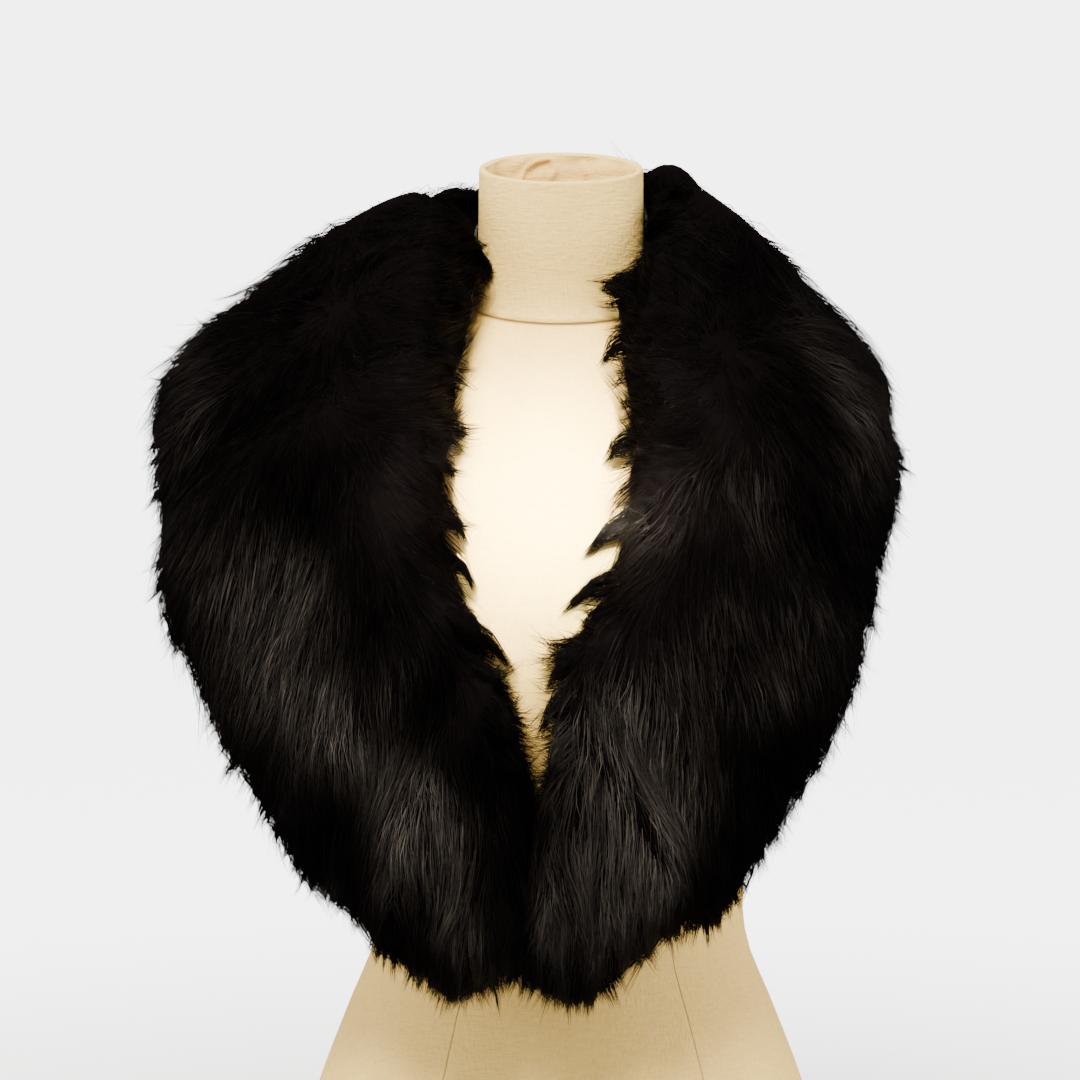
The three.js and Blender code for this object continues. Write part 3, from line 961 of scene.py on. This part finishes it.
# Painted sheen at each point: a sum of turned bells over a low floor.
def paintedSheenAt(points):
    x = bent(points, 0, paintedSheenLook["bendX"])
    z = bent(points, 2, paintedSheenLook["bendZ"])
    total = np.full(x.shape, paintedSheenLook["floor"])
    front = np.clip(0.5 - points[..., 1] / paintedSheenLook["turnDepth"], 0, 1)
    for side, share in (("front", front), ("back", 1 - front)):
        for spotX, spotZ, long, short, turn, strength in paintedSheenSpots[side]:
            c, s = math.cos(math.radians(turn)), math.sin(math.radians(turn))
            a = ((x - spotX) * c + (z - spotZ) * s) / long
            b = ((z - spotZ) * c - (x - spotX) * s) / short
            total = total + strength * share * np.exp(-(a**2) - b**2)
    return np.minimum(total, paintedSheenLook["most"])


# How far the hair turns outward and up, which it does on the upper front.
def standing(root):
    start, depth = layLook["standFront"]
    front = np.clip((-root[..., 1] - start) / depth, 0, 1)
    return front * np.clip((root[..., 2] - layLook["standLevel"]) / layLook["standSpread"] + 0.5, 0, 1)


# Hair lies down and away from the band's middle line: gravity plus the way across times
# a spread that grows to the edges, with slow waves, and then laid flat on the surface.
def layField(panel, surface, top):
    at, q, skin = surface
    normal = gridNormals(top)
    along = unit(np.gradient(skin, axis=0))
    across = unit(np.gradient(skin, axis=1))
    e = 2 * q - 1
    even, steep = layLook["spreadCurve"]
    spread = np.where(e < 0, layLook["neckSpread"], layLook["outerSpread"]) * (even * e + steep * e**3)
    wave = sum(size * np.sin(at * pace + q * slant) for size, pace, slant in layLook["waves"])
    stand = standing(top)
    spread = spread * (1 + stand) + layLook["standOut"] * stand * q
    notch = bell((top[..., 2] - layLook["notchLevel"]) / layLook["notchSpread"]) * (top[..., 1] < 0)
    spread = spread * (1 - layLook["notchStraight"][panel] * notch * (q < 0.5))
    lay = down * (1 - layLook["standUp"] * stand[..., None]) + across * spread[..., None]
    lay = lay + along * (layLook["wander"] * wave)[..., None]
    lay = lay - normal * np.sum(lay * normal, axis=-1, keepdims=True)
    return {
        "top": top,
        "normal": normal,
        "lay": unit(lay),
        "byRing": np.gradient(top, axis=0),
        "byColumn": np.gradient(top, axis=1),
        "at": at,
        "q": q,
    }


# Places round their centres, by a spread in millimetres that is turned into steps of the grid.
def around(field, centre, spread, leastStep, random):
    byRing = np.linalg.norm(sample(field["byRing"], centre), axis=1)
    byColumn = np.maximum(np.linalg.norm(sample(field["byColumn"], centre), axis=1), leastStep)
    away = random.normal(size=centre.shape) * spread / np.stack([byRing, byColumn], axis=-1)
    return np.clip(centre + away, 0, np.array(field["q"].shape) - lastCell)


# Each lock's hairs start round the surface point nearest to its root, and end on the way to its tip.
def lockHairs(panel, field, random):
    table = np.array(locks[panel], dtype=float)
    each = lockLook["hairs"] // 1
    top = field["top"]
    aside = top[..., None, 0] - table[:, 0] - table[:, 2]
    above = top[..., None, 2] - table[:, 1] - table[:, 3]
    behind = np.maximum(top[..., None, 1] + lockLook["frontOf"], 0)
    nearest = np.argmin((aside**2 + above**2 + behind**2).reshape(-1, len(table)), axis=0)
    centre = np.stack(np.unravel_index(nearest, top.shape[:2]), axis=-1).astype(float)
    centre = np.repeat(centre, each, axis=0)
    place = around(field, centre, lockLook["spread"], 0, random)
    root = sample(top, place)
    middle = sample(top, centre)
    normal = unit(sample(field["normal"], place))
    target = np.repeat(table, each, axis=0)
    tip = np.stack([target[:, 0], middle[:, 1] + lockLook["tipBack"], target[:, 1]], axis=-1)
    tip = tip + (root - middle) * lockLook["tipWidth"] + random.normal(size=tip.shape) * lockLook["loose"]
    share = 1 - lockLook["shorter"] * random.random(len(tip)) ** 2
    tip = root + (tip - root) * share[:, None]
    mid = root + (tip - root) * hairLook["bend"] + normal * lockLook["rise"]
    return root - normal * hairLook["rootDepth"], mid, tip, normal, np.full(len(root), lockLook["thick"])


# Small tufts along an edge: each tuft has a centre, a way and a length, and its hairs start round
# the centre and gather to its tip.
def fringeHairs(kind, field, random):
    look = {**fringeShared, **fringes[kind]}
    top = field["top"]
    rings, columns = top.shape[:2]
    outer = kind in ("outer", "rim")
    edgeLine = top[:, -1 if outer else 0]
    low, high = look["levels"]
    inside = np.flatnonzero((edgeLine[:, 2] > low) & (edgeLine[:, 2] < high))
    if len(inside) < 2:
        return None
    length = np.sum(np.linalg.norm(np.diff(edgeLine[inside], axis=0), axis=1))
    tufts = int(length / look["spacing"]) * look["rows"]
    each = look["hairs"] // 1
    if kind == "rim":
        aside = np.abs(field["normal"][:-1, :-1, 1]) < look["facing"]
        aside = np.argwhere(aside & (field["q"][:-1, :-1] > look["from"]))
        area = np.linalg.norm(np.cross(field["byRing"], field["byColumn"]), axis=-1)[tuple(aside.T)]
        centre = aside[random.choice(len(aside), tufts, p=area / area.sum())] + random.random((tufts, 2))
    else:
        first, last = inside[0], min(inside[-1], rings - lastCell)
        inward = random.random(tufts) ** 1.5 * look["depth"]
        column = (1 - inward if outer else inward) * (columns - 1)
        ring = first + random.random(tufts) * (last - first)
        centre = np.stack([ring, np.minimum(column, columns - lastCell)], axis=-1)
    normal = unit(sample(field["normal"], centre))
    across = unit(sample(field["byColumn"], centre)) * (1 if outer else -1)
    middle = sample(top, centre)
    stand = standing(middle)[:, None]
    fall, out, off = look["way"]
    way = down * (fall * (1 - stand)) + across * out + normal * (off + look["standOff"] * stand)
    way = unit(way + random.normal(size=way.shape) * look["jitter"])
    low, high = look["length"]
    size = (low + (high - low) * random.random(tufts) ** 2)[:, None] * (1 - look["standShort"] * stand)
    size = size * (1 + look["hem"] * hemShare(middle[:, 2:], look["hemSpan"]))
    place = around(field, np.repeat(centre, each, axis=0), look["spread"], look["leastStep"], random)
    root = sample(top, place)
    middle, way, size = (np.repeat(values, each, axis=0) for values in (middle, way, size))
    share = 1 - look["shorter"] * random.random((len(root), 1)) ** 1.5
    tip = middle + way * size * share + (root - middle) * (1 - look["gather"] * share)
    tip = tip + random.normal(size=tip.shape) * look["loose"]
    normal = unit(sample(field["normal"], place))
    mid = (root + tip) / 2 + normal * look["bow"] + down * look["sag"] * size
    return root - normal * look["rootDepth"], mid, tip, normal, np.full(len(root), look["thick"])


# A walk over the surface along the lay, in short steps. Each step solves for the grid steps that
# make it, and past the surface's edge the rest goes straight on.
def walk(field, place, offset, distance, stray):
    steps = hairLook["walkSteps"]
    last = np.array(field["q"].shape) - 1.0
    step = (distance / steps)[:, None]
    for _ in range(steps):
        way = unit(sample(field["lay"], place) + stray)
        a = sample(field["byRing"], place)
        b = sample(field["byColumn"], place)
        aa, ab, bb = np.sum(a * a, axis=1), np.sum(a * b, axis=1), np.sum(b * b, axis=1)
        wa, wb = np.sum(way * a, axis=1), np.sum(way * b, axis=1)
        bound = np.maximum(aa * bb - ab * ab, 1e-6)
        move = np.stack([wa * bb - wb * ab, wb * aa - wa * ab], axis=-1) / bound[:, None] * step
        aim = place + np.clip(move, -3, 3)
        there = np.clip(aim, 0, last)
        outside = np.any(there != aim, axis=1)
        miss = sample(field["top"], place) + way * step - sample(field["top"], there)
        offset = offset + np.where(outside[:, None], miss, 0)
        place = there
    return place, offset


# Strands: three-sided tubes along each line, which taper to its last point.
def strandMesh(name, line, normal, radius, toneAndSheen, material):
    count, points = line.shape[:2]
    rings = points - 1
    t = np.linspace(0, 1, points)
    tangent = unit(np.gradient(line, axis=1))
    side = unit(np.cross(tangent, normal[:, None, :]))
    up = np.cross(side, tangent)
    taper = 1 - hairLook["tipTaper"] * t[:rings] ** 2
    corners = (np.arange(3) * 2 * np.pi / 3 + np.pi / 2)[None, None, :, None]
    ring = side[:, :rings, None, :] * np.cos(corners) + up[:, :rings, None, :] * np.sin(corners)
    body = line[:, :rings, None, :] + ring * (radius[:, None] * taper)[:, :, None, None]
    points = np.concatenate([body.reshape(count, -1, 3), line[:, -1:, :]], axis=1)
    size = 3 * rings + 1
    faces = [[0, 2, 1]]
    for k in range(rings - 1):
        for c in range(3):
            d = (c + 1) % 3
            faces += [[3 * k + c, 3 * k + d, 3 * k + 3 + d], [3 * k + c, 3 * k + 3 + d, 3 * k + 3 + c]]
    last = 3 * (rings - 1)
    faces += [[last + c, last + (c + 1) % 3, size - 1] for c in range(3)]
    faces = np.array(faces)[None] + (np.arange(count) * size)[:, None, None]
    along = np.broadcast_to(np.append(np.repeat(t[:rings], 3), 1.0), (count, size))
    toneAndSheen = np.concatenate([np.repeat(toneAndSheen[:, :rings], 3, axis=1), toneAndSheen[:, -1:]], axis=1)
    return furPiece(name, points, faces.reshape(-1, 3), material, {"toneAndSheen": toneAndSheen, "along": along})


# The nearest clump of each root, by squared distance, a slice of the roots at a time.
def nearestClump(root, clumps):
    found = []
    for part in np.array_split(root, max(1, len(root) // 2000)):
        away = (part**2).sum(1)[:, None] + (clumps**2).sum(1)[None, :] - 2 * part @ clumps.T
        found.append(np.argmin(away, axis=1))
    return np.concatenate(found)


# A hair's root, middle and tip: a walk over the surface, at a height above it.
def route(kind, field, place, size, lift, loose, stray):
    top = field["top"]
    root = sample(top, place)
    normal = unit(sample(field["normal"], place))
    edge = np.abs(2 * sample(field["q"], place) - 1)
    stand = standing(root)
    rags = np.random.default_rng(ragLook["seed"]).random(ragLook["parts"]) ** ragLook["power"]
    rag = np.interp(sample(field["at"], place) * ragLook["pace"], np.arange(len(rags)), rags)
    ragged = edge**4 * (1 - ragLook["stand"] * stand) * ragLook["share"] * (rag - ragLook["mean"])
    ragged = ragged - hairLook["hemShort"] * edge**2 * hemShare(root[:, 2], hairLook["hemSpan"])
    low, high = hairLook["reach"][kind]
    reach = (low + (high - low) * size) * (1 - hairLook["standReach"] * stand) * (1 + ragged)
    low, high = hairLook["rise"][kind]
    rise = (low + (high - low) * lift) * (1 + hairLook["standRise"] * stand)
    rise = rise * (1 - hairLook["edgeFlat"] * edge**4)
    bend = hairLook["bend"]
    half, offset = walk(field, place, np.zeros_like(root), reach * bend, stray)
    end, drift = walk(field, half, offset, reach * (1 - bend), stray)
    over = unit(sample(field["normal"], half)) * (rise * hairLook["midHeight"])[:, None]
    above = unit(sample(field["normal"], end)) * (rise * (1 + hairLook["looseLift"] * loose))[:, None]
    root = root - normal * hairLook["rootDepth"]
    return root, sample(top, half) + offset + over, sample(top, end) + drift + above, normal


# Hairs all over a panel, each drawn towards the hair at the middle of its clump.
def buildHair(panel, kind, field, material, random):
    count = hairLook["count"][panel][kind == "short"]
    place, area = scatter(field["top"], count, random)
    stray = random.normal(size=(count, 3)) * hairLook["stray"]
    edge = np.abs(2 * sample(field["q"], place) - 1) ** 6
    loose = random.random(count) < hairLook["looseShare"] + hairLook["looseEdge"] * edge
    loose = loose * random.random(count)
    size, lift = random.random(count), random.random(count)
    root, mid, tip, normal = route(kind, field, place, size, lift, loose, stray)

    clumps = int(area / clumpLook["size"][kind] ** 2)
    place = scatter(field["top"], clumps, random)[0]
    stray = random.normal(size=(clumps, 3)) * hairLook["stray"]
    low, span = clumpLook["reach"]
    size = low + span * random.random(clumps)
    lift, less = clumpLook["lift"]
    loose = np.maximum(random.random(clumps) * lift - less, 0)
    clumpRoot, _, clumpTip, _ = route(kind, field, place, size, random.random(clumps), loose, stray)

    nearest = nearestClump(root, clumpRoot)
    low, high = clumpLook["hold"][kind]
    hold = low + (high - low) * random.random(count) + clumpLook["edgeHold"] * edge
    hold = hold + clumpLook["hemHold"] * hemShare(root[:, 2], clumpLook["hemSpan"])
    hold = np.minimum(hold, clumpLook["holdMost"])[:, None]
    toward = clumpTip[nearest] + random.normal(size=(count, 3)) * clumpLook["loose"] - tip
    away = np.linalg.norm(toward, axis=1, keepdims=True)
    toward = toward * hold * np.clip(clumpLook["nearMost"] - away / clumpLook["nearFade"], 0, 1)
    mid = mid + toward * clumpLook["midShare"]
    shade = random.random(clumps)[nearest]
    return finishHair(panel, kind, (root, mid, tip + toward, normal, np.ones(count)), shade, material, random)


# The fringes of an edge, and the locks with them where asked, as one piece.
def buildEdge(panel, kind, places, field, material, random):
    parts = [fringeHairs(place, field, random) for place in places]
    parts = [part for part in parts if part]
    if kind == "edge" and locks[panel]:
        parts.append(lockHairs(panel, field, random))
    joined = [np.concatenate(values) for values in zip(*parts)]
    return finishHair(panel, kind, joined, hairLook["edgeShade"], material, random)


# Fine stripes along the fall of the hair, from three sines across it, which break the painted sheen into
# streaks.
def stripes(root):
    x = bent(root, 0, hairLook["stripeBends"])
    waves = [np.sin(x * pace + root[:, 1] * slant + start) for pace, slant, start in hairLook["stripeWaves"]]
    return (sum(waves) + len(waves)) / (2 * len(waves))


# Short and rim hairs are straight, and the others bend at their middle.
def finishHair(panel, kind, parts, shade, material, random):
    start, mid, tip, normal, thick = parts
    tip = outOf(tip, hairLook["formClearance"])
    mid = outOf(mid, hairLook["formClearance"])
    low, span = hairLook["radiusRange"]
    radius = hairLook["radius"][kind] * thick * (low + span * random.random(len(start)))
    line = np.stack([start, tip] if kind in ("short", "rim") else [start, mid, tip], axis=1)
    look = hairLook["toneAndSheen"]
    toneAndSheen = look["least"] + look["hair"] * random.random(len(start)) ** 3
    toneAndSheen = toneAndSheen + look["stripe"] * stripes(start) ** 3 + look["clump"] * shade**2
    # Painted sheen: each point's value is scaled by the sheen painted at its place.
    toneAndSheen = toneAndSheen[:, None] * paintedSheenAt(line)
    return strandMesh(f"{kind}_hair_{panel}", line, normal, radius, toneAndSheen, material)


peltCuts = {
    "front_right": {"flat": (0.17, 0.50), "rests": ["linen_torso"]},
    "back": {"flat": (0.22, 0.32), "rests": ["linen_torso", "linen_neck"]},
    "front_left": {"flat": (0.16, 0.47), "rests": ["linen_torso"]},
}


def buildStole():
    fur = {kind: furMaterial(kind) for kind in ("guard", "short")}
    under = underfurMaterial()
    suede = skinMaterial()
    random = np.random.default_rng(26)
    for panel, cut in peltCuts.items():
        surface = peltSurface(panel)
        pelt = buildPelt(panel, surface, suede)
        body, top = buildUnderfur(panel, surface, under)
        field = layField(panel, surface, top)
        hairs = [buildHair(panel, kind, field, fur[kind], random) for kind in fur]
        hairs.append(buildEdge(panel, "edge", ("neck", "notch"), field, fur["guard"], random))
        hairs.append(buildEdge(panel, "rim", ("outer", "rim"), field, fur["guard"], random))
        for piece in (pelt, body, *hairs):
            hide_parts("fur_" + panel)
        say(f"{panel} has {sum(len(h.data.polygons) for h in hairs)} hair faces")


# Stage

stageLook = {
    "cameraElevation": 4.0,
    "cameraDistance": 2.45,
    "aim": (-0.0136, 0, 0.487),
    "pictureWidth": 0.702,
    "sensorWidth": 36,
    "floorRings": (0.02, 0.5, 1, 2),
    "floorRadius": 3.5,
    "bendRadius": 1.8,
    "bendSteps": 13,
    "wallTop": 7,
    "sides": 96,
    "pale": (0.42, 0.42, 0.425, 1),
    "roughness": 0.9,
    "glow": 4.9,
    "glowLeast": 0.4,
    "glowReach": (0.3, 1.6),
    "glowRest": 0.03,
    "worldColour": (0.86, 0.94, 1.12, 1),
    "worldStrength": 0.16,
}

# Each light's place, aim, size, power, colour and spread in degrees.
lightAim = (0, 0, 0.42)
lights = {
    "key": ((-0.35, -1.5, 2.5), lightAim, (0.9, 0.7), 235, (1, 0.94, 0.80), 180),
    "chest": ((-0.1, -1.9, 1.6), (-0.01, -0.12, 0.53), (0.12, 0.12), 1.3, (1, 0.94, 0.8), 6),
    "fill": ((1.7, -1.8, 0.9), lightAim, (1.2, 1.6), 2.5, (0.97, 0.98, 1), 180),
    "side_left": ((-2.2, -0.2, 1.1), lightAim, (0.7, 1.2), 52, (1, 0.96, 0.9), 180),
    "side_right": ((2.2, -0.2, 1.1), lightAim, (0.7, 1.2), 60, (1, 0.96, 0.9), 180),
}


# Pale paper, which glows to the camera alone away from the middle, so that its far parts stay pale.
def paperMaterial():
    made, tree, shader = newMaterial("paper", stageLook["roughness"])
    shader.inputs["Base Color"].default_value = stageLook["pale"]
    place = addNode(tree, "TexCoord", "Object")
    away = addNode(tree, "VectorMath", "Value", {0: place}, operation="LENGTH")
    grown = (stageLook["glowLeast"], 1.0)
    grow = mapRange(tree, away, stageLook["glowReach"], grown, interpolation_type="SMOOTHSTEP")
    ray = addNode(tree, "LightPath", "Is Camera Ray")
    seen = mapRange(tree, ray, (0.0, 1.0), (stageLook["glowRest"], 1.0))
    tree.links.new(addMath(tree, "MULTIPLY", grow, seen), shader.inputs["Emission Color"])
    shader.inputs["Emission Strength"].default_value = stageLook["glow"]
    made.cycles.emission_sampling = "NONE"
    return made


# The stage is a round floor that turns up into a wall all round by a quarter circle.
def buildStage():
    floor, bend, top = stageLook["floorRadius"], stageLook["bendRadius"], stageLook["wallTop"]
    flat = stageLook["floorRings"]
    turn = np.linspace(0, np.pi / 2, stageLook["bendSteps"])
    radius = np.concatenate([flat, floor + bend * np.sin(turn), [floor + bend]])
    height = np.concatenate([np.zeros(len(flat)), bend - bend * np.cos(turn), [top]])
    around = np.arange(stageLook["sides"]) / stageLook["sides"] * 2 * np.pi
    ways = np.stack([np.cos(around), np.sin(around), np.ones(len(around))], axis=-1)
    points = ways * np.stack([radius, radius, height], axis=-1)[:, None, :]
    faces = ringFaces(len(radius), len(around), False)
    bowl = makeMesh("bowl", points.reshape(-1, 3) / mm, faces)
    bowl.data.materials.append(paperMaterial())


def addLight(name, place, aim, size, power, colour, spread):
    data = bpy.data.lights.new(name, "AREA")
    data.spread = math.radians(spread)
    data.shape = "RECTANGLE"
    data.size, data.size_y = size
    data.energy = power
    data.color = colour
    made = bpy.data.objects.new(name, data)
    bpy.context.scene.collection.objects.link(made)
    made.location = place
    x, y, z = np.array(aim) - np.array(place)
    made.rotation_euler = (math.atan2(math.hypot(x, y), -z), 0, math.atan2(y, x) - math.pi / 2)


def buildLights():
    for name, light in lights.items():
        addLight(name, *light)
    world = bpy.data.worlds.new("room")
    world.use_nodes = True
    sky = world.node_tree.nodes["Background"].inputs
    sky["Color"].default_value = stageLook["worldColour"]
    sky["Strength"].default_value = stageLook["worldStrength"]
    bpy.context.scene.world = world


# The camera looks down at the aim by its elevation, from its distance.
def buildCamera():
    distance = stageLook["cameraDistance"]
    data = bpy.data.cameras.new("camera")
    data.sensor_width = stageLook["sensorWidth"]
    data.lens = stageLook["sensorWidth"] * distance / stageLook["pictureWidth"]
    made = bpy.data.objects.new("camera", data)
    bpy.context.scene.collection.objects.link(made)
    lift = math.radians(stageLook["cameraElevation"])
    x, y, z = stageLook["aim"]
    made.location = (x, y - distance * math.cos(lift), z + distance * math.sin(lift))
    made.rotation_euler = (math.pi / 2 - lift, 0, 0)
    bpy.context.scene.camera = made


say("form")
buildForm()
say("stole")
buildStole()
say("stage")
buildStage()
buildLights()
buildCamera()
